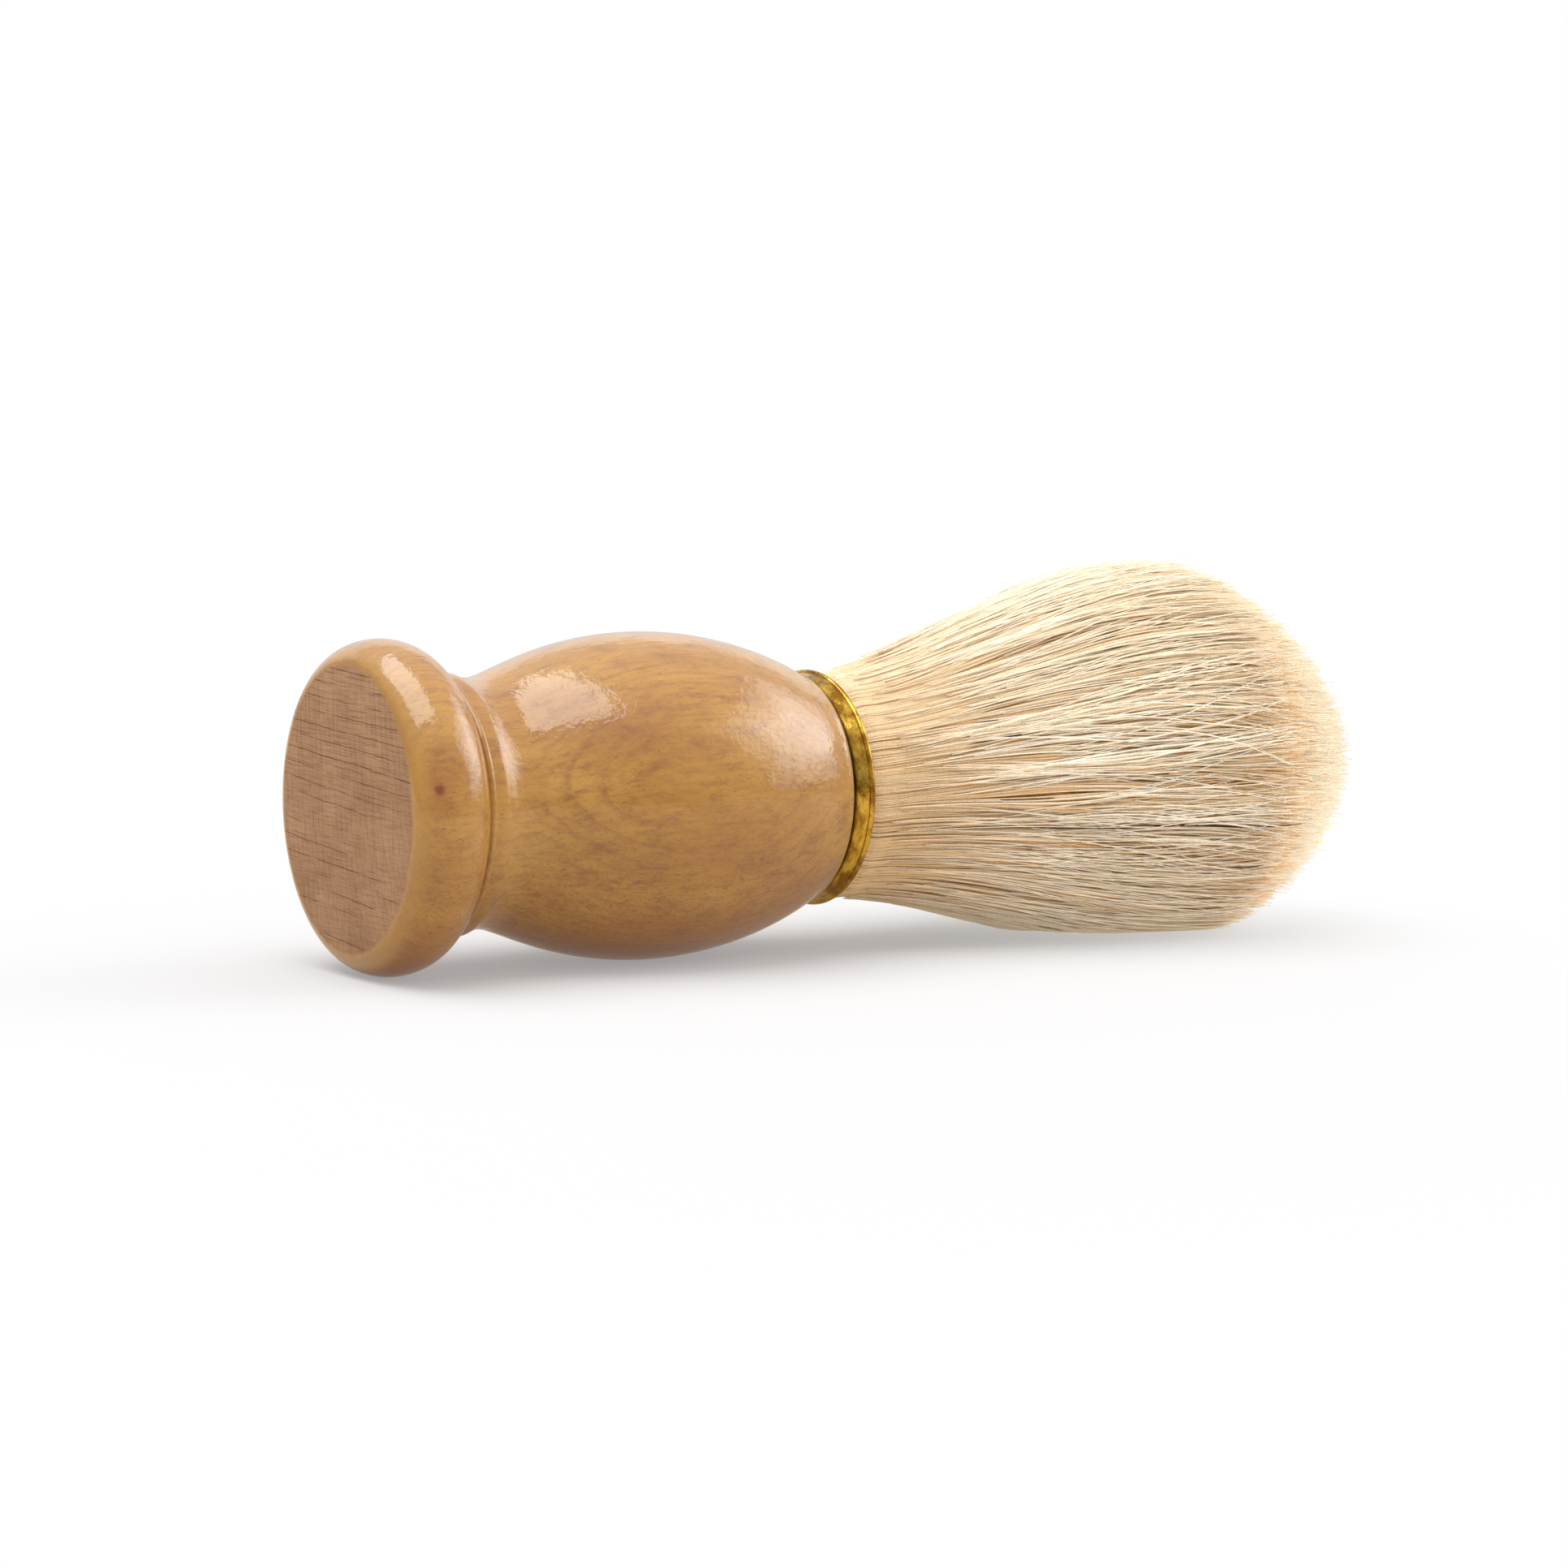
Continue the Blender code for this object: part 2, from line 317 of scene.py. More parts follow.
class Recipe:
    """A procedural material, written as short calls that each give the socket they make."""

    def __init__(self, name):
        self.material = bpy.data.materials.new(name)
        self.material.use_nodes = True
        self.tree = self.material.node_tree
        self.shader = self.tree.nodes["Principled BSDF"]
        coordinates = self.add("ShaderNodeTexCoord")
        mapping = self.add("ShaderNodeMapping", vector_type="TEXTURE")
        self.feed(mapping.inputs["Vector"], coordinates.outputs["Object"])
        mapping.inputs["Location"].default_value = AXIS.translation
        mapping.inputs["Rotation"].default_value = AXIS.to_euler()
        mapping.inputs["Scale"].default_value = (MM, MM, MM)
        self.place = mapping.outputs[0]
        split = self.add("ShaderNodeSeparateXYZ")
        self.feed(split.inputs[0], self.place)
        self.along, self.across, self.height = split.outputs

    def add(self, kind, **settings):
        return new_node(self.tree, kind, **settings)

    def feed(self, socket, value):
        feed(self.tree, socket, value)

    def set(self, **values):
        """Sets or links the shader's inputs, with _ for a space in each name."""
        for key, value in values.items():
            self.feed(self.shader.inputs[key.replace("_", " ")], value)

    def math(self, operation, first, second=0.0, third=0.0):
        """The result of one arithmetic operation."""
        node = self.add("ShaderNodeMath", operation=operation)
        for socket, value in zip(node.inputs, (first, second, third)):
            self.feed(socket, value)
        return node.outputs[0]

    def sum(self, *terms):
        """A weighted sum of (weight, value) terms."""
        total = 0.0
        for weight, socket in terms:
            total = self.math("MULTIPLY_ADD", socket, weight, total)
        return total

    def ease(self, value, low, high, start=0.0, end=1.0):
        """Goes smoothly from start to end as value goes from low to high."""
        node = self.add("ShaderNodeMapRange", interpolation_type="SMOOTHSTEP")
        for socket, number in zip(node.inputs, (value, low, high, start, end)):
            self.feed(socket, number)
        return node.outputs[0]

    def length(self, *parts):
        """The length of a vector, from its parts."""
        squares = [(1.0, self.math("POWER", part, 2.0)) for part in parts]
        return self.math("SQRT", self.sum(*squares))

    def noise(self, scale, detail=2.0, roughness=0.5, shift=0.0):
        """Noise with its own scale, in cycles per millimetre, along X, Y and Z."""
        stretch = self.add("ShaderNodeVectorMath", operation="MULTIPLY_ADD")
        self.feed(stretch.inputs[0], self.place)
        self.feed(stretch.inputs[1], scale)
        self.feed(stretch.inputs[2], (shift, 1.7 * shift, 2.3 * shift))
        node = self.add("ShaderNodeTexNoise")
        self.feed(node.inputs["Vector"], stretch.outputs[0])
        self.feed(node.inputs["Scale"], 1.0)
        self.feed(node.inputs["Detail"], detail)
        self.feed(node.inputs["Roughness"], roughness)
        return node.outputs[0]

    def ramp(self, value, *stops):
        """Colours at places from 0 to 1."""
        node = self.add("ShaderNodeValToRGB")
        self.feed(node.inputs[0], value)
        elements = node.color_ramp.elements
        while len(elements) < len(stops):
            elements.new(0.5)
        for element, (place, color) in zip(elements, stops):
            element.position = place
            element.color = (*color, 1.0)
        return node.outputs[0]

    def mix(self, share, first, second):
        """The second colour over the first, by share."""
        node = self.add("ShaderNodeMix", data_type="RGBA")
        sockets = (node.inputs[0], node.inputs[6], node.inputs[7])
        for socket, value in zip(sockets, (share, first, second)):
            self.feed(socket, (*value, 1.0) if isinstance(value, tuple) else value)
        return node.outputs[2]

    def bump(self, height, distance):
        """A normal from height, whose full range stands distance millimetres high."""
        node = self.add("ShaderNodeBump")
        self.feed(node.inputs["Strength"], 1.0)
        self.feed(node.inputs["Distance"], distance * MM)
        self.feed(node.inputs["Height"], height)
        return node.outputs[0]

    def stripes(self, place, spacing, width):
        """Thin soft lines, one every spacing of place."""
        share = self.math("FRACT", self.math("DIVIDE", place, spacing))
        away = self.math("ABSOLUTE", self.math("SUBTRACT", share, 0.5))
        away = self.math("MULTIPLY", away, spacing)
        return self.ease(away, 0.0, width, 1.0, 0.0)


def grain_depth(recipe):
    """How deep a point lies in the tree, in millimetres, with the wander of real growth rings."""
    toward = (GRAIN_TILT, -sin(GRAIN_ANGLE), cos(GRAIN_ANGLE))
    beside = (0.0, cos(GRAIN_ANGLE), sin(GRAIN_ANGLE))
    along = recipe.math("SUBTRACT", recipe.along, GRAIN_ALONG)
    near = recipe.sum((toward[0], along), (toward[1], recipe.across), (toward[2], recipe.height))
    side = recipe.sum((beside[1], recipe.across), (beside[2], recipe.height))
    gap = recipe.math("SUBTRACT", PITH_DISTANCE, near)
    reach = recipe.length(gap, side)
    wander = recipe.noise((0.06, 0.10, 0.10), 2.0, 0.5, 3.1)
    ripple = recipe.noise((0.25, 0.9, 0.9), 2.0, 0.5, 8.4)
    return recipe.sum((-1.0, reach), (1.5, wander), (0.22, ripple))


def bare_wood(recipe, depth):
    """The colour of the unlacquered end grain, and the dark marks of the saw in it."""
    slope = radians(3.5)
    wave = recipe.noise((0.0, 0.06, 0.16), 1.0, 0.5, 5.2)
    waver = recipe.noise((0.0, 0.5, 0.5), 2.0, 0.5, 6.1)
    cut = recipe.sum((cos(slope), recipe.height), (-sin(slope), recipe.across),
                     (0.8, wave), (0.22, waver))
    dense = recipe.ease(recipe.height, -2.0, 6.0, 0.0, 0.10)
    broken = recipe.math("ADD", recipe.noise((0.0, 0.10, 0.7), 3.0, 0.6, 1.3), dense)
    strong = recipe.math("MULTIPLY", recipe.stripes(cut, 1.30, 0.09), recipe.ease(broken, 0.48, 0.60))
    dashes = recipe.math("ADD", recipe.noise((0.0, 0.22, 2.4), 2.0, 0.6, 9.7), dense)
    middle = recipe.math("MULTIPLY", recipe.stripes(cut, 0.53, 0.07), recipe.ease(dashes, 0.50, 0.64))
    faint = recipe.ease(recipe.noise((0.0, 0.35, 6.5), 2.0, 0.6, 4.4), 0.42, 0.66)
    upright = recipe.ease(recipe.noise((0.0, 6.0, 0.30), 2.0, 0.6, 6.6), 0.44, 0.68)
    rings = recipe.stripes(depth, RING_SPACING, 0.2)
    marks = recipe.sum((0.70, strong), (0.40, middle), (0.24, faint), (0.24, upright), (0.12, rings))
    marks = recipe.math("MINIMUM", marks, 1.0)
    blotch = recipe.noise((0.2, 0.16, 0.22), 3.0, 0.55, 2.2)
    plain = recipe.ramp(blotch, (0.30, (0.39, 0.222, 0.128)), (0.70, (0.49, 0.298, 0.185)))
    return recipe.mix(marks, plain, (0.18, 0.085, 0.040)), marks


def wood_under_lacquer(recipe, depth):
    """Golden brown wood with faint growth rings, fine fibres, flecks and one small knot, and painted
    shade on its underside.
    """
    blotch = recipe.noise((0.055, 0.13, 0.13), 3.0, 0.55, 11.0)
    color = recipe.ramp(blotch, (0.30, (0.355, 0.158, 0.030)), (0.50, (0.44, 0.220, 0.042)),
                        (0.72, (0.53, 0.295, 0.068)))
    fibre = recipe.noise((0.20, 2.6, 2.6), 4.0, 0.65, 7.0)
    color = recipe.mix(recipe.ease(fibre, 0.40, 0.68, 0.0, 0.30), color, (0.25, 0.09, 0.026))

    share = recipe.math("FRACT", recipe.math("DIVIDE", depth, RING_SPACING))
    darkens = recipe.ease(share, 0.55, 0.93)
    late = recipe.math("MULTIPLY", darkens, recipe.ease(share, 0.94, 1.0, 1.0, 0.0))
    shown = recipe.ease(recipe.noise((0.09, 0.16, 0.16), 2.0, 0.5, 14.0), 0.36, 0.66, 0.03, 0.30)
    color = recipe.mix(recipe.math("MULTIPLY", late, shown), color, (0.27, 0.092, 0.030))

    cloud = recipe.noise((0.34, 0.8, 0.8), 6.0, 0.72, 21.0)
    color = recipe.mix(recipe.ease(cloud, 0.47, 0.70, 0.0, 0.50), color, (0.20, 0.066, 0.024))
    speckle = recipe.noise((2.2, 4.5, 4.5), 4.0, 0.70, 23.0)
    under = recipe.ease(recipe.height, -10.0, 3.0, 0.55, 0.14)
    speckled = recipe.math("MULTIPLY", recipe.ease(speckle, 0.50, 0.68), under)
    color = recipe.mix(speckled, color, (0.15, 0.050, 0.022))
    fleck = recipe.noise((1.4, 5.5, 5.5), 1.5, 0.5, 17.0)
    patch = recipe.ease(recipe.noise((0.12, 0.2, 0.2), 2.0, 0.5, 19.0), 0.40, 0.62, 0.05, 0.55)
    flecked = recipe.math("MULTIPLY", recipe.ease(fleck, 0.64, 0.75), patch)
    color = recipe.mix(flecked, color, (0.12, 0.040, 0.018))
    # Painted shade: the underside of the barrel, towards the floor, is darkened
    underside_shade = recipe.ease(recipe.height, -15.0, -7.0, 0.75, 0.0)
    color = recipe.mix(underside_shade, color, (0.25, 0.078, 0.018))
    return knot_spot(recipe, color)


def knot_spot(recipe, color):
    """A pin knot on the flange, with the darker wood around it."""
    along = recipe.math("SUBTRACT", recipe.along, PIN_KNOT_ALONG)
    across = recipe.math("ADD", recipe.across, PIN_KNOT_RADIUS * sin(PIN_KNOT_ANGLE))
    height = recipe.math("SUBTRACT", recipe.height, PIN_KNOT_RADIUS * cos(PIN_KNOT_ANGLE))
    away = recipe.length(along, across, height)
    away = recipe.sum((1.0, away), (0.5, recipe.noise((2.5, 2.5, 2.5), 2.0, 0.5, 1.0)))
    color = recipe.mix(recipe.ease(away, 0.6, 3.4, 0.42, 0.0), color, (0.33, 0.105, 0.030))
    return recipe.mix(recipe.ease(away, 0.45, 0.95, 0.85, 0.0), color, (0.19, 0.035, 0.012))


def lacquered_wood():
    """Wood under a glossy, slightly rippled lacquer, with the face of the foot left bare."""
    recipe = Recipe("lacquered_wood")
    depth = grain_depth(recipe)
    bare_color, marks = bare_wood(recipe, depth)
    coated_color = wood_under_lacquer(recipe, depth)

    radius = recipe.length(recipe.across, recipe.height)
    ragged = recipe.noise((0.5, 0.9, 0.9), 3.0, 0.6, 12.0)
    edge = recipe.sum((1.0, radius), (0.8, ragged))
    on_face = recipe.ease(recipe.along, 0.15, 0.7, 1.0, 0.0)
    inside = recipe.ease(edge, BARE_RADIUS - 0.35, BARE_RADIUS + 0.35, 1.0, 0.0)
    bare = recipe.math("MULTIPLY", inside, on_face)
    pooled = recipe.math("MULTIPLY", recipe.ease(recipe.along, 0.3, 1.5, 0.55, 0.0),
                         recipe.ease(radius, BARE_RADIUS - 0.9, BARE_RADIUS - 0.3))
    coated_color = recipe.mix(pooled, coated_color, (0.50, 0.27, 0.060))
    color = recipe.mix(bare, coated_color, bare_color)

    peel = recipe.noise((1.7, 1.7, 1.7), 1.0, 0.4, 30.0)
    fine_peel = recipe.noise((4.2, 4.2, 4.2), 2.0, 0.5, 33.0)
    pits = recipe.ease(recipe.noise((2.6, 2.6, 2.6), 0.0, 0.4, 36.0), 0.66, 0.78, 0.0, -1.0)
    saw = recipe.math("MULTIPLY", marks, recipe.math("MULTIPLY", bare, -1.0))
    swell = recipe.noise((0.45, 0.45, 0.45), 1.0, 0.4, 31.0)
    lacquer_height = recipe.sum((0.060, swell), (0.030, peel), (0.010, fine_peel), (0.006, pits))
    height = recipe.sum((1.0, lacquer_height), (0.035, saw))
    recipe.set(
        Base_Color=color,
        Roughness=recipe.sum((0.30, bare), (0.16, fine_peel), (0.36, 1.0)),
        Normal=recipe.bump(height, 1.0),
        Coat_Weight=recipe.ease(bare, 0.05, 0.9, 1.0, 0.0),
        Specular_IOR_Level=0.15,
        Coat_Roughness=0.09,
        Coat_IOR=1.56,
        Coat_Normal=recipe.bump(lacquer_height, 1.0),
    )
    return recipe.material


def gold_metal():
    """Worn gold-coloured metal, dented and specked, with painted shade in the crease by the wood."""
    recipe = Recipe("gold_metal")
    tarnish = recipe.noise((0.9, 0.5, 0.5), 3.0, 0.6, 2.0)
    color = recipe.ramp(tarnish, (0.40, (0.30, 0.14, 0.014)), (0.60, (0.68, 0.43, 0.066)))
    specks = recipe.ease(recipe.noise((4.0, 4.0, 4.0), 2.0, 0.6, 5.0), 0.56, 0.74, 0.0, 0.65)
    color = recipe.mix(specks, color, (0.26, 0.12, 0.018))
    # Painted shade: a dark line in the crease where the collar meets the wood
    crease = recipe.ease(recipe.along, 46.05, 46.38, 0.95, 0.0)
    color = recipe.mix(crease, color, (0.035, 0.016, 0.006))
    dents = recipe.noise((1.3, 1.3, 1.3), 2.0, 0.5, 7.0)
    grit = recipe.noise((7.0, 7.0, 7.0), 2.0, 0.6, 9.0)
    recipe.set(
        Base_Color=color,
        Metallic=1.0,
        Roughness=recipe.ease(grit, 0.35, 0.75, 0.11, 0.28),
        Normal=recipe.bump(recipe.sum((0.045, dents), (0.0045, grit)), 1.0),
    )
    return recipe.material


def bristle_material(name, pale, deep):
    """Hair with its own tone on each strand, paler at the tip. Painted shade makes it darker at the
    root by the collar, duller on the top of the knot, where it tones down the light, and amber
    underneath."""
    recipe = Recipe(name)
    tone = recipe.add("ShaderNodeAttribute", attribute_name="tone").outputs["Fac"]
    reach = recipe.add("ShaderNodeAttribute", attribute_name="reach").outputs["Fac"]
    streak = recipe.noise((0.12, 1.1, 1.1), 2.0, 0.5, 3.0)
    # Tone runs from the pale colour to the deep one; on the outer hairs it also carries painted shade
    # by depth
    share = recipe.sum((0.85, tone), (0.4, streak), (-0.16, reach))
    color = recipe.ramp(share, (0.15, pale), (0.85, deep))
    color = recipe.mix(recipe.ease(reach, 0.40, 0.92, 0.0, 0.40), color, (0.98, 0.89, 0.72))
    # Painted shade: the roots by the collar are darker and browner
    root_shade = recipe.ease(reach, 0.0, 0.38, 0.75, 0.0)
    color = recipe.mix(root_shade, color, (0.78, 0.57, 0.33))
    # Painted shade: the top of the knot is darkened to tone down the light that falls on it
    top_shade = recipe.ease(recipe.height, 2.0, 16.0, 0.0, 0.55)
    color = recipe.mix(top_shade, color, (0.88, 0.74, 0.54))
    shaded = recipe.ease(recipe.height, -18.0, -13.0, 0.45, 0.0)
    color = recipe.mix(shaded, color, (0.97, 0.68, 0.34))
    scales = recipe.noise((6.0, 2.0, 2.0), 1.0, 0.5, 4.0)
    recipe.shader.subsurface_method = "BURLEY"
    recipe.set(
        Base_Color=color,
        Roughness=recipe.ease(scales, 0.3, 0.7, 0.22, 0.38),
        IOR=1.55,
        Specular_IOR_Level=0.25,
        Subsurface_Weight=0.35,
        Subsurface_Radius=(1.0, 1.0, 1.0),
        Subsurface_Scale=0.5 * MM,
    )
    return recipe.material


def dark_hair():
    """Nearly black hair with red-brown stretches."""
    recipe = Recipe("dark_hair")
    tone = recipe.noise((0.10, 0.8, 0.8), 2.0, 0.5, 6.0)
    recipe.set(
        Base_Color=recipe.ramp(tone, (0.35, (0.022, 0.008, 0.008)), (0.70, (0.17, 0.034, 0.014))),
        Roughness=recipe.ease(tone, 0.3, 0.7, 0.45, 0.60),
        Specular_IOR_Level=0.2,
    )
    return recipe.material


def inner_material(name, light, dark, scale, roughness, bump_height):
    """Mottled finish of a fitting inside the socket."""
    recipe = Recipe(name)
    cloud = recipe.noise(scale, 4.0, 0.6, 1.0)
    grain = recipe.noise(tuple(4.0 * s for s in scale), 2.0, 0.6, 2.0)
    recipe.set(
        Base_Color=recipe.ramp(cloud, (0.35, light), (0.70, dark)),
        Roughness=recipe.ease(grain, 0.3, 0.7, roughness, roughness + 0.15),
        Normal=recipe.bump(grain, bump_height),
    )
    return recipe.material


def core_material():
    """Hair deep in the knot, coloured as painted shade: amber streaks that follow the hairs, and pale
    cut tips.
    """
    recipe = Recipe("bristle_core")
    streak = recipe.noise((0.09, 3.6, 3.6), 3.0, 0.6, 3.0)
    amber = recipe.ramp(streak, (0.32, (0.90, 0.50, 0.11)), (0.52, (0.96, 0.64, 0.21)),
                        (0.72, (0.98, 0.76, 0.34)))
    tips = recipe.noise((0.2, 4.6, 4.6), 2.0, 0.6, 8.0)
    pale = recipe.ramp(tips, (0.36, (0.62, 0.40, 0.18)), (0.50, (0.93, 0.76, 0.50)),
                       (0.66, (0.99, 0.90, 0.72)))
    recipe.set(
        Base_Color=recipe.mix(recipe.ease(recipe.along, 84.0, 91.0), amber, pale),
        Roughness=recipe.ease(streak, 0.3, 0.7, 0.50, 0.70),
        Normal=recipe.bump(streak, 0.25),
    )
    return recipe.material


# ---------------------------------------------------------------- bristles


def knot_profile():
    """The CAD knot's cross-sections: along, radius and height of the middle, finely sampled."""
    points = node_points("bristle_knot")
    stations = np.unique(np.round(points[:, 0], 2))
    rows = []
    for along in stations:
        ring = points[np.abs(points[:, 0] - along) < 0.02]
        radius = np.abs(ring[:, 1]).max()
        rows.append((along, radius, ring[:, 2].max() - radius))
    rows = np.array(rows)
    fine = curve_through(rows[:, :2], 0.25)
    lift = np.interp(fine[:, 0], rows[:, 0], rows[:, 2])
    return fine[:, 0], fine[:, 1], lift


KNOT_ALONG, KNOT_RADIUS, KNOT_LIFT = knot_profile()
BULB_INDEX = int(np.argmax(KNOT_RADIUS))
BULB_ALONG = KNOT_ALONG[BULB_INDEX]
BULB_RADIUS = KNOT_RADIUS[BULB_INDEX]
TIP_ALONG = KNOT_ALONG[-1]


def body_radius(along):
    """How far out the outermost hairs run: past the widest place they nearly keep its width."""
    spread = np.interp(along, KNOT_ALONG[:BULB_INDEX + 1], KNOT_RADIUS[:BULB_INDEX + 1])
    past = np.clip((along - BULB_ALONG) / (TIP_ALONG - BULB_ALONG), 0.0, 1.0)
    return spread - 0.8 * past**2


def trimmed_end(share):
    """Where a hair at that share of the bulb's radius is cut, so that the tips make the dome."""
    radius = KNOT_RADIUS[BULB_INDEX:][::-1]
    return np.interp(share * BULB_RADIUS, radius, KNOT_ALONG[BULB_INDEX:][::-1])


def make_waves(random, count, around, along_rate):
    """Random waves round and along the knot, as rows of (turns, rate, lean, phase)."""
    turns = random.integers(*around, count)
    rate = random.uniform(-along_rate, along_rate, count)
    lean = random.uniform(-9.0, 9.0, count)
    phase = random.uniform(0.0, 2.0 * pi, count)
    return np.column_stack((turns, rate, lean, phase))


def wave_sum(waves, angle, along, share):
    """Sum of the waves, each divided by its number of turns."""
    total = np.zeros_like(along)
    for turns, rate, lean, phase in waves:
        total += np.sin(turns * angle + rate * along + lean * share + phase) / turns
    return total


def clear_of_floor(points, gap):
    """Presses points up to stay above the surface that the brush lies on, with a soft bend."""
    lowest = to_frame(points)[..., 2] / MM - gap
    softness = 0.35
    raised = 0.5 * (lowest + np.sqrt(lowest**2 + softness**2))
    points[..., 2] += raised - lowest
    return points


def strand_paths(random, share, angle, start, end, stations, flow, drift, fuzz):
    """Middle lines of hairs, as (hair, station, 3). They run in locks and fray at their tips.
    Share is how far out in the knot a hair lies, drift is how far its tip leans to one side, in
    millimetres, and fuzz scales its own bends."""
    t = np.linspace(0.0, 1.0, stations)[None, :]
    along = start[:, None] + (end - start)[:, None] * t
    opened = np.clip((along - OPENING[0]) / (OPENING[1] - OPENING[0]), 0.0, 1.0)
    loose = np.clip((along - FRAY_START) / (TIP_ALONG - FRAY_START), 0.0, 1.0)
    share = share[:, None] * np.ones_like(t)
    base = angle[:, None] * np.ones_like(t)

    broad = wave_sum(flow["broad"], base, along, share)
    fine = wave_sum(flow["fine"], base, along, share)
    relief = wave_sum(flow["relief"], base, along, share)
    lean = drift[:, None] * loose**1.5
    radius = share * body_radius(along)
    turned = base + opened * PARTING_TURN * (broad + fine) + lean / np.maximum(radius, 4.0)
    radius = radius + opened * LOCK_RELIEF * relief * share

    bend = random.normal(0.0, 1.0, (4, len(share), 1))
    wiggle = np.sin(loose * 7.0 + bend[3] * 2.0)
    sideways = fuzz * (SIDE_BEND * bend[0] * loose**2 + SIDE_WIGGLE * bend[2] * wiggle * loose)
    radius = radius + fuzz * (OUTWARD_BEND * bend[1] * loose**3)
    turned = turned + sideways / np.maximum(radius, 3.0)
    middle = np.interp(along, KNOT_ALONG, KNOT_LIFT)
    points = np.stack((along, -radius * np.sin(turned), middle + radius * np.cos(turned)), axis=-1)
    return clear_of_floor(points, FLOOR_GAP + STRAND_RADIUS[1])


def strand_mesh(name, paths, radii, tone, material):
    """Closed thin hairs along the paths, in one piece, each with a low ridge on its outer side."""
    count, stations = paths.shape[:2]
    tangent = np.gradient(paths, axis=1)
    tangent /= np.linalg.norm(tangent, axis=-1, keepdims=True)
    middle = np.interp(paths[..., 0], KNOT_ALONG, KNOT_LIFT)
    outward = np.stack((np.zeros_like(middle), paths[..., 1], paths[..., 2] - middle), axis=-1)
    side = np.cross(tangent, outward)
    side /= np.maximum(np.linalg.norm(side, axis=-1, keepdims=True), 1e-6)
    outward = np.cross(side, tangent)
    rings = []
    for across, height in STRAND_SECTION:
        rings.append(paths + radii[..., None] * (across * side + height * outward))
    points = np.stack(rings, axis=2).reshape(-1, 3)

    hair = np.arange(count)[:, None] * stations * STRAND_SIDES
    row = hair + np.arange(stations - 1)[None, :] * STRAND_SIDES
    quads = []
    for step in range(STRAND_SIDES):
        after = (step + 1) % STRAND_SIDES
        ahead = row + STRAND_SIDES
        quads.append(np.stack((row + after, row + step, ahead + step, ahead + after), -1))
    quads = np.stack(quads, axis=2).reshape(-1, 4)
    last = hair[:, 0] + (stations - 1) * STRAND_SIDES
    caps = np.vstack((np.stack((hair[:, 0], hair[:, 0] + 1, hair[:, 0] + 2), -1),
                      np.stack((last + 2, last + 1, last), -1)))
    faces = quads.tolist() + caps.tolist()
    piece = add_mesh(name, points, faces, material, "bristle_knot")
    reach = (paths[..., 0] - STRAND_START) / (TIP_ALONG - STRAND_START)
    attributes = {
        "tone": np.repeat(tone, stations * STRAND_SIDES),
        "reach": np.repeat(reach.ravel(), STRAND_SIDES),
    }
    for label, values in attributes.items():
        attribute = piece.data.attributes.new(label, "FLOAT", "POINT")
        attribute.data.foreach_set("value", np.clip(values, 0.0, 1.0).astype(np.float32))


def strand_radii(random, count, stations, scale=1.0):
    """Thickness of each hair along its length. It tapers over its last part."""
    t = np.linspace(0.0, 1.0, stations)[None, :]
    taper = 1.0 - 0.62 * np.clip((t - 0.45) / 0.55, 0.0, 1.0) ** 1.6
    return scale * random.uniform(*STRAND_RADIUS, (count, 1)) * taper


def add_surface_strands(random, flow):
    """Long hairs that form the outside of the knot. The ones that lie deeper are darker, as painted
    shade between the hairs.
    """
    material = bristle_material("bristle_outer", (1.00, 0.88, 0.66), (0.97, 0.52, 0.14))
    pieces = 5
    count = SURFACE_STRANDS // pieces
    stations = 28
    for number in range(pieces):
        depth = np.where(random.random(count) < 0.2, 0.09, 0.034)
        share = 1.0 - np.abs(random.normal(0.0, depth))
        angle = random.uniform(0.0, 2.0 * pi, count)
        start = STRAND_START + random.uniform(0.0, 0.4, count)
        end = trimmed_end(share) - np.abs(random.normal(0.0, 1.2, count)) + 1.2
        is_loose = random.random(count) < 0.22
        drift = np.where(is_loose, random.normal(0.0, 2.2, count), random.normal(0.0, 0.3, count))
        paths = strand_paths(random, share, angle, start, end, stations, flow, drift, 1.0)
        # Painted shade: part of each hair's tone is random, and part grows with its depth below the
        # surface
        tone = 0.40 * random.random(count) + 0.60 * np.clip((1.0 - share) / 0.05, 0.0, 1.0)
        radii = strand_radii(random, count, stations)
        strand_mesh(f"bristles_outer_{number + 1}", paths, radii, tone, material)


def add_tip_strands(random, flow):
    """The last part of the hairs inside the knot, whose cut ends make the dome."""
    material = bristle_material("bristle_inner", (0.95, 0.85, 0.69), (0.92, 0.74, 0.49))
    pieces = 2
    count = INNER_STRANDS // pieces
    stations = 6
    for number in range(pieces):
        share = 0.98 * np.sqrt(random.random(count))
        angle = random.uniform(0.0, 2.0 * pi, count)
        end = trimmed_end(share) - np.abs(random.normal(0.0, 1.0, count)) + 1.0
        start = end - random.uniform(11.0, 14.0, count)
        drift = random.normal(0.0, 0.9, count)
        paths = strand_paths(random, share, angle, start, end, stations, flow, drift, 1.7)
        radii = strand_radii(random, count, stations, 1.35)
        tone = random.random(count)
        strand_mesh(f"bristles_inner_{number + 1}", paths, radii, tone, material)


def add_stray_strands(random, flow):
    """Loose hairs that lie on the surface and cross the locks."""
    material = bristle_material("bristle_stray", (1.00, 0.96, 0.87), (0.99, 0.90, 0.74))
    count = STRAY_STRANDS
    stations = 18
    share = random.uniform(1.000, 1.024, count)
    angle = random.uniform(0.0, 2.0 * pi, count)
    start = random.uniform(50.0, 78.0, count)
    length = random.uniform(12.0, 34.0, count)
    end = np.minimum(start + length, trimmed_end(np.minimum(share, 0.99)) + 1.0)
    drift = random.normal(0.0, 5.5, count)
    paths = strand_paths(random, share, angle, start, end, stations, flow, drift, 1.4)
    radii = strand_radii(random, count, stations, 0.78)
    tone = random.random(count)
    strand_mesh("bristles_stray", paths, radii, tone, material)


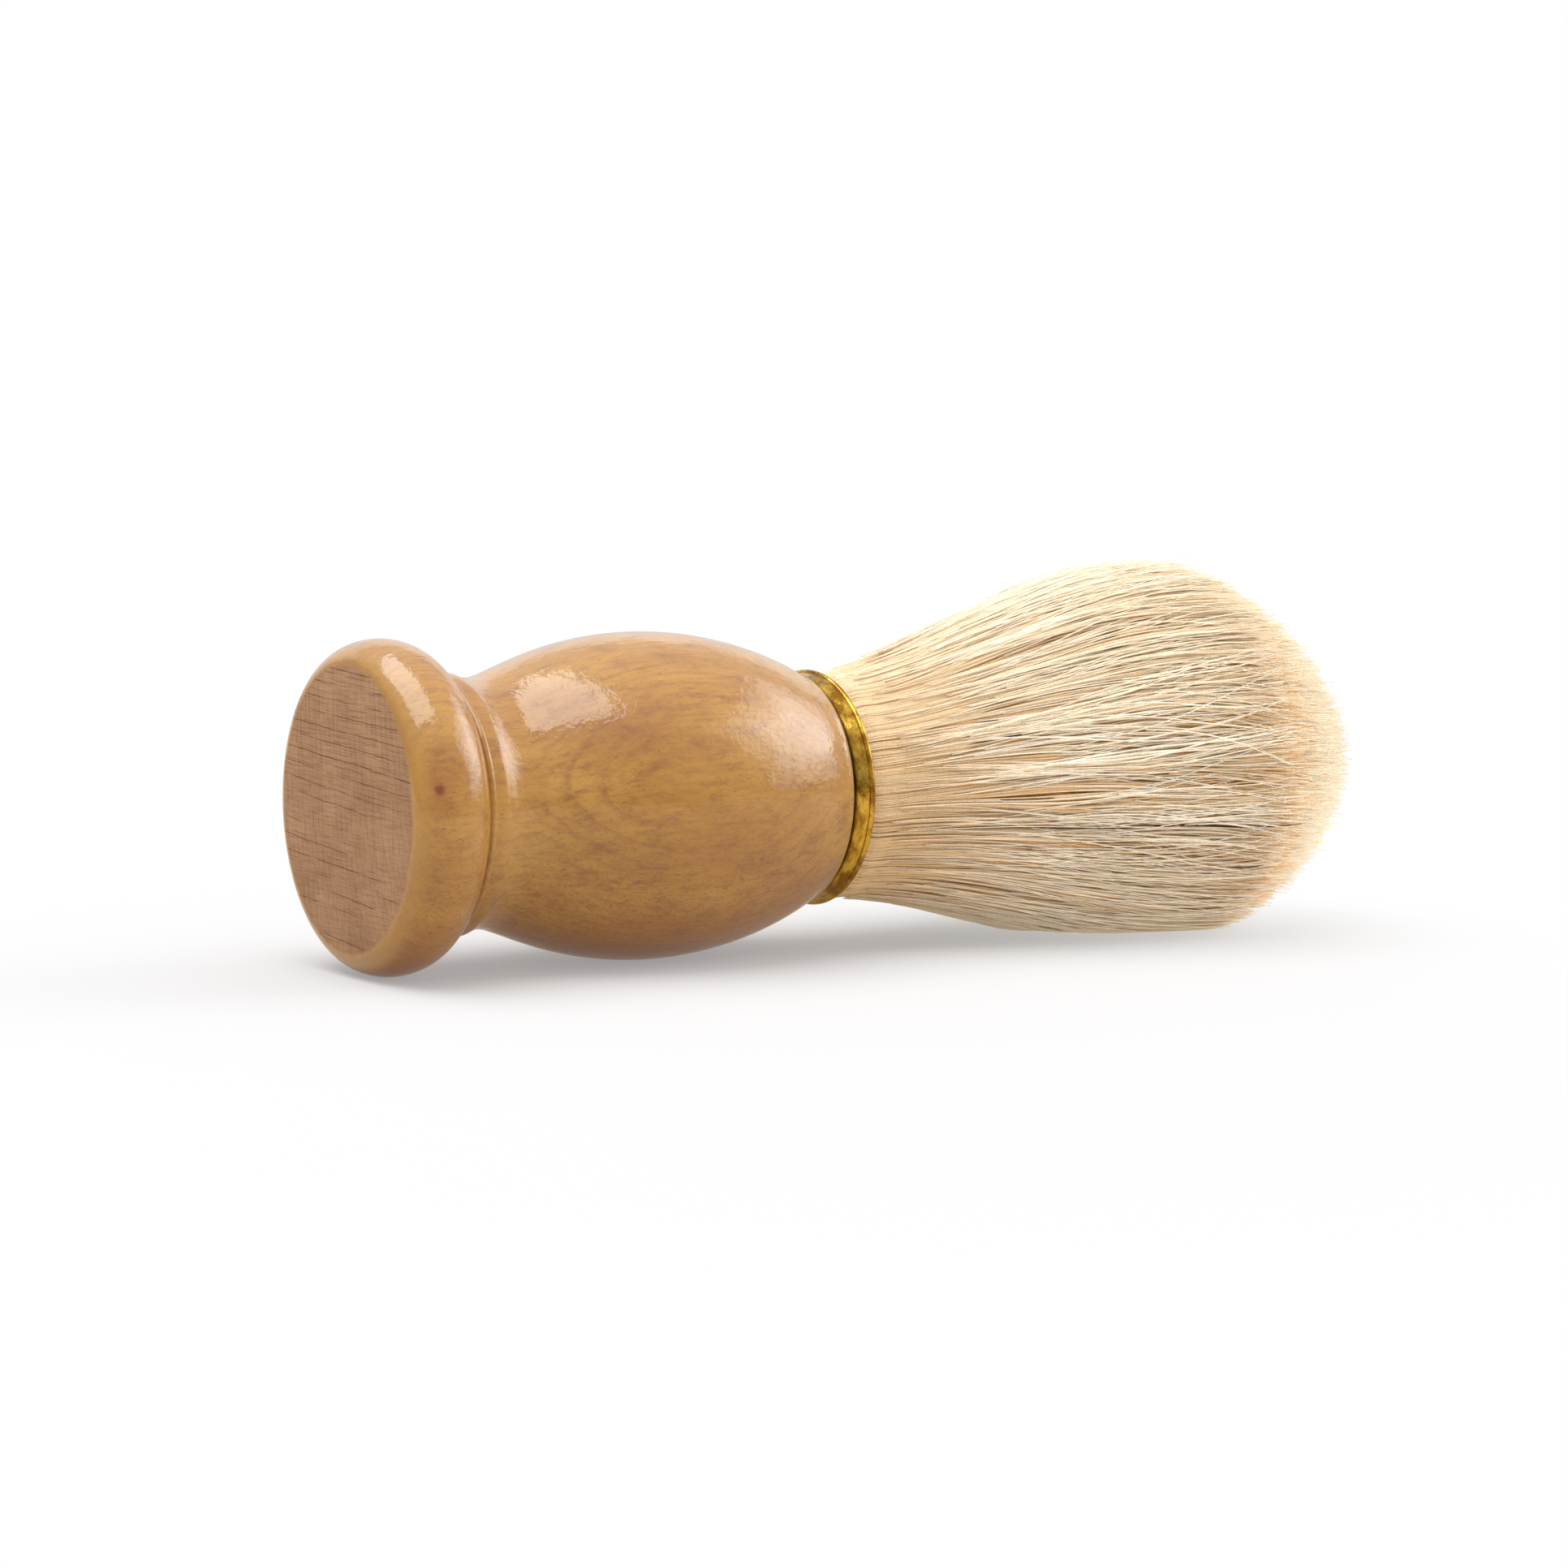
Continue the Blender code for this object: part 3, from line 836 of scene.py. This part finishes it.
def add_dark_hairs(random, flow):
    """A few dark hairs between the pale ones: (angle in degrees, start, end, thickness)."""
    hairs = ((109.4, 50.5, 93.0, 1.6), (37.5, 64.0, 69.5, 1.2), (42.5, 71.5, 75.5, 0.9),
             (84.0, 78.5, 88.0, 0.8), (73.5, 56.5, 63.5, 0.9), (62.0, 57.0, 64.0, 0.8),
             (118.0, 83.0, 90.0, 0.7), (96.0, 60.0, 66.0, 0.7), (200.0, 55.0, 80.0, 1.0),
             (248.0, 62.0, 74.0, 0.9), (292.0, 58.0, 82.0, 1.1), (331.0, 66.0, 76.0, 0.8))
    angle, start, end, thickness = (np.array(column) for column in zip(*hairs))
    count = len(hairs)
    stations = 24
    share = np.full(count, 1.010)
    drift = np.zeros(count)
    paths = strand_paths(random, share, np.radians(angle), start, end, stations, flow, drift, 0.2)

    from_middle = np.abs(np.linspace(-1.0, 1.0, stations))[None, :]
    height = np.interp(paths[..., 0], KNOT_ALONG, KNOT_LIFT)
    middle = np.stack((paths[..., 0], np.zeros_like(height), height), axis=-1)
    inward = middle - paths
    inward /= np.linalg.norm(inward, axis=-1, keepdims=True)
    paths = paths + 0.35 * from_middle[..., None] ** 4 * inward
    width = 0.075 * thickness[:, None] * (1.0 - 0.7 * from_middle**3)
    strand_mesh("bristles_dark", paths, width, np.full(count, 0.5), dark_hair())


def add_core(flow, material):
    """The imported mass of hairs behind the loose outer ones, ribbed like the locks that cover it.
    Past the bulb it is smooth and drawn in, so that only the tips of the hairs show."""
    segments, spacing = 300, 0.6
    rows = ceil((TIP_ALONG - STRAND_START) / spacing)
    along = np.linspace(STRAND_START, TIP_ALONG - 0.02, rows)
    past = np.maximum(along - BULB_ALONG, 0.0)
    dome = np.interp(along, KNOT_ALONG, KNOT_RADIUS)
    radius = np.where(past == 0.0, body_radius(along), dome)[:, None]
    drawn_in = (along - (1.0 - CORE_DOME) * past)[:, None]

    ones = np.ones((rows, segments))
    angle = 2.0 * pi * np.arange(segments) / segments * ones
    ribs = wave_sum(flow["fine"], angle, along[:, None] * ones, CORE_SHARE * ones)
    ribbed = np.clip((BULB_ALONG - along) / 10.0, 0.0, 1.0)[:, None]
    radius = CORE_SHARE * radius * (1.0 + CORE_RIBS * ribbed * ribs)
    height = np.interp(drawn_in, KNOT_ALONG, KNOT_LIFT) + radius * np.cos(angle)
    points = np.stack((drawn_in * ones, -radius * np.sin(angle), height), axis=-1)
    points = clear_of_floor(points, 0.5).reshape(-1, 3)
    tip = points[-segments:].mean(axis=0)
    points, faces = closed_tube(points, segments, (STRAND_START, 0.0, 0.0), tip)
    add_mesh("bristle_core", points, faces, material, "bristle_knot")


def add_root(material):
    """The bound end of the bundle, inside the socket, lightly fluted by its hairs."""
    segments, flutes, flute_depth = 160, 40, 0.006
    start = node_points("bristle_knot")[:, 0].min()
    along = np.linspace(start, STRAND_START, 24)
    points = spin(np.column_stack((along, np.interp(along, KNOT_ALONG, KNOT_RADIUS))), segments)
    angle = np.tile(2.0 * pi * np.arange(segments) / segments, len(along))
    points[:, 1:] *= 1.0 - flute_depth * (1.0 + np.sin(flutes * angle))[:, None]
    points, faces = closed_tube(points, segments, (start, 0.0, 0.0), (STRAND_START, 0.0, 0.0))
    add_mesh("bristle_root", points, faces, material, "bristle_knot")


def add_bristles():
    """The whole knot. All its hairs follow the same three sets of waves, so they lie in locks."""
    random = np.random.default_rng(SEED)
    flow = {
        "broad": make_waves(random, 7, (7, 26), 0.10),
        "fine": make_waves(random, 16, (34, 105), 0.36),
        "relief": make_waves(random, 12, (26, 80), 0.22),
    }
    packed = core_material()
    add_core(flow, packed)
    add_surface_strands(random, flow)
    add_tip_strands(random, flow)
    add_stray_strands(random, flow)
    add_dark_hairs(random, flow)
    add_root(packed)


# ---------------------------------------------------------------- pieces


def paint(node, material):
    """Gives a CAD node that stays its finished material."""
    piece = frame["nodes"][node]
    for place in piece.material_slots:
        place.material = material


def add_pieces():
    turned_piece("turned_handle", "handle", HANDLE_SEGMENTS, HANDLE_SPACING,
                 lacquered_wood())
    turned_piece("collar", "ferrule_ring", COLLAR_SEGMENTS, COLLAR_SPACING,
                 gold_metal(), is_ring=True)
    add_bristles()
    paint("binding_thread", inner_material("waxed_thread", (0.66, 0.60, 0.48), (0.52, 0.46, 0.35),
                                           (0.8, 0.8, 0.8), 0.70, 0.03))
    paint("resin_plug", inner_material("amber_resin", (0.56, 0.31, 0.09), (0.40, 0.19, 0.05),
                                       (0.25, 0.25, 0.25), 0.20, 0.01))
    paint("glue_bed", inner_material("clear_glue", (0.70, 0.63, 0.47), (0.60, 0.52, 0.36),
                                     (0.35, 0.35, 0.35), 0.28, 0.02))


# ---------------------------------------------------------------- stage, lights and camera


def floor_material():
    """Matt grey under the brush that turns to glowing white away from it. The light that it
    throws back at the brush is a little dimmer and warmer than what the camera sees."""
    material = bpy.data.materials.new("pale_floor")
    material.use_nodes = True
    tree = material.node_tree
    matt = tree.nodes["Principled BSDF"]
    feed(tree, matt.inputs["Roughness"], 0.9)
    feed(tree, matt.inputs["Specular IOR Level"], 0.0)
    glow = new_node(tree, "ShaderNodeEmission")
    feed(tree, glow.inputs["Strength"], 1.0)

    seen = new_node(tree, "ShaderNodeLightPath").outputs["Is Camera Ray"]
    tints = ((matt.inputs["Base Color"], (0.54, 0.475, 0.39), (0.57, 0.57, 0.58)),
             (glow.inputs["Color"], (1.0, 0.89, 0.76), (1.0, 1.0, 1.0)))
    for socket, bounced, plain in tints:
        tint = new_node(tree, "ShaderNodeMix", data_type="RGBA")
        feed(tree, tint.inputs[0], seen)
        feed(tree, tint.inputs[6], (*bounced, 1.0))
        feed(tree, tint.inputs[7], (*plain, 1.0))
        feed(tree, socket, tint.outputs[2])

    shift = new_node(tree, "ShaderNodeVectorMath", operation="SUBTRACT")
    feed(tree, shift.inputs[0], new_node(tree, "ShaderNodeTexCoord").outputs["Object"])
    feed(tree, shift.inputs[1], FLOOR_GREY_CENTRE)
    away = new_node(tree, "ShaderNodeVectorMath", operation="LENGTH")
    feed(tree, away.inputs[0], shift.outputs["Vector"])
    fade = new_node(tree, "ShaderNodeMapRange", interpolation_type="SMOOTHSTEP")
    feed(tree, fade.inputs["Value"], away.outputs["Value"])
    feed(tree, fade.inputs["From Min"], FLOOR_FADE[0])
    feed(tree, fade.inputs["From Max"], FLOOR_FADE[1])
    feed(tree, fade.inputs["To Min"], 0.30)
    strength = new_node(tree, "ShaderNodeMath", operation="MULTIPLY_ADD")
    feed(tree, strength.inputs[0], seen)
    feed(tree, strength.inputs[1], 1.0 - BOUNCED_GLOW)
    feed(tree, strength.inputs[2], BOUNCED_GLOW)
    share = new_node(tree, "ShaderNodeMath", operation="MULTIPLY")
    feed(tree, share.inputs[0], fade.outputs[0])
    feed(tree, share.inputs[1], strength.outputs[0])

    mix = new_node(tree, "ShaderNodeMixShader")
    feed(tree, mix.inputs[0], share.outputs[0])
    feed(tree, mix.inputs[1], matt.outputs[0])
    feed(tree, mix.inputs[2], glow.outputs[0])
    feed(tree, tree.nodes["Material Output"].inputs["Surface"], mix.outputs[0])
    return material


def add_floor():
    """A wide floor at the height of the brush's lowest point."""
    half = 3.0
    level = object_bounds()[0].z
    corners = [(x, y, level) for x, y in ((-half, -half), (half, -half), (half, half), (-half, half))]
    mesh = bpy.data.meshes.new("floor")
    mesh.from_pydata(corners, [], [(0, 1, 2, 3)])
    mesh.materials.append(floor_material())
    floor = bpy.data.objects.new("floor", mesh)
    bpy.context.scene.collection.objects.link(floor)


def add_softbox(name, center, target, size, radiance, shines=True):
    """A rectangular softbox facing its target, which the camera doesn't see. One that doesn't
    shine leaves no reflection, as behind a polariser."""
    light = bpy.data.lights.new(name, "AREA")
    light.shape = "RECTANGLE"
    light.size, light.size_y = size
    light.energy = radiance * pi * size[0] * size[1]
    lamp = bpy.data.objects.new(name, light)
    lamp.location = center
    lamp.rotation_euler = (Vector(center) - Vector(target)).to_track_quat("Z", "Y").to_euler()
    lamp.visible_camera = False
    lamp.visible_glossy = shines
    bpy.context.scene.collection.objects.link(lamp)


def add_room():
    """White for the camera. The brush is lit by a room that grows brighter towards the ceiling."""
    world = bpy.data.worlds.new("studio")
    world.use_nodes = True
    tree = world.node_tree
    tree.nodes.clear()
    backdrop = new_node(tree, "ShaderNodeBackground")
    feed(tree, backdrop.inputs["Color"], (1.0, 1.0, 1.0, 1.0))
    room = new_node(tree, "ShaderNodeBackground")
    feed(tree, room.inputs["Color"], (1.0, 0.98, 0.95, 1.0))
    split = new_node(tree, "ShaderNodeSeparateXYZ")
    feed(tree, split.inputs[0], new_node(tree, "ShaderNodeTexCoord").outputs["Generated"])
    rise = new_node(tree, "ShaderNodeMapRange")
    feed(tree, rise.inputs["Value"], split.outputs["Z"])
    for name, value in (("From Min", 0.05), ("From Max", 0.9), ("To Min", 0.28), ("To Max", 1.05)):
        feed(tree, rise.inputs[name], value)
    feed(tree, room.inputs["Strength"], rise.outputs[0])
    mix = new_node(tree, "ShaderNodeMixShader")
    feed(tree, mix.inputs[0], new_node(tree, "ShaderNodeLightPath").outputs["Is Camera Ray"])
    feed(tree, mix.inputs[1], room.outputs[0])
    feed(tree, mix.inputs[2], backdrop.outputs[0])
    feed(tree, new_node(tree, "ShaderNodeOutputWorld").inputs["Surface"], mix.outputs[0])
    bpy.context.scene.world = world


def add_lights():
    """Softboxes overhead and on the right, a low fill in front, and a wall behind. The one on the
    right is three boxes, each inside the next, so its reflection fades towards its edges."""
    add_softbox("overhead_softbox", (-0.225, 0.055, 0.62), (-0.225, 0.055, 0.0), (0.52, 0.70), 3.5)
    right, brush = Vector((0.51, -0.124, 0.283)), (0.0, 0.0, 0.02)
    for distance, size in ((1.00, (0.60, 0.46)), (1.01, (0.42, 0.32)), (1.02, (0.26, 0.20))):
        add_softbox("right_softbox", distance * right, brush, size, 1.3)
    add_softbox("front_fill", (0.36, -0.62, 0.12), (0.03, 0.0, 0.01), (0.90, 0.30), 1.35,
                shines=False)
    add_softbox("rear_wall", (0.25, 0.75, 0.28), brush, (1.4, 0.5), 0.5)


def add_camera():
    """A long lens low beside the foot, turned a little about its own axis."""
    ahead = Vector((-sin(CAMERA_AZIMUTH), cos(CAMERA_AZIMUTH), 0.0))
    forward = ahead * cos(CAMERA_ELEVATION) - Vector((0.0, 0.0, sin(CAMERA_ELEVATION)))
    level = Vector((cos(CAMERA_AZIMUTH), sin(CAMERA_AZIMUTH), 0.0))
    up = level.cross(forward)
    right = level * cos(CAMERA_ROLL) + up * sin(CAMERA_ROLL)
    top = up * cos(CAMERA_ROLL) - level * sin(CAMERA_ROLL)
    turn = Matrix((right, top, -forward)).transposed().to_4x4()
    data = bpy.data.cameras.new("camera")
    data.lens = LENS_MM
    data.sensor_width = 36.0
    data.clip_start = 0.01
    data.clip_end = 100.0
    camera = bpy.data.objects.new("camera", data)
    camera.matrix_world = Matrix.Translation(AIM - CAMERA_DISTANCE * forward) @ turn
    bpy.context.scene.collection.objects.link(camera)
    bpy.context.scene.camera = camera


add_camera()
add_lights()
add_room()
add_pieces()
add_floor()
bpy.context.scene.view_settings.view_transform = "Standard"
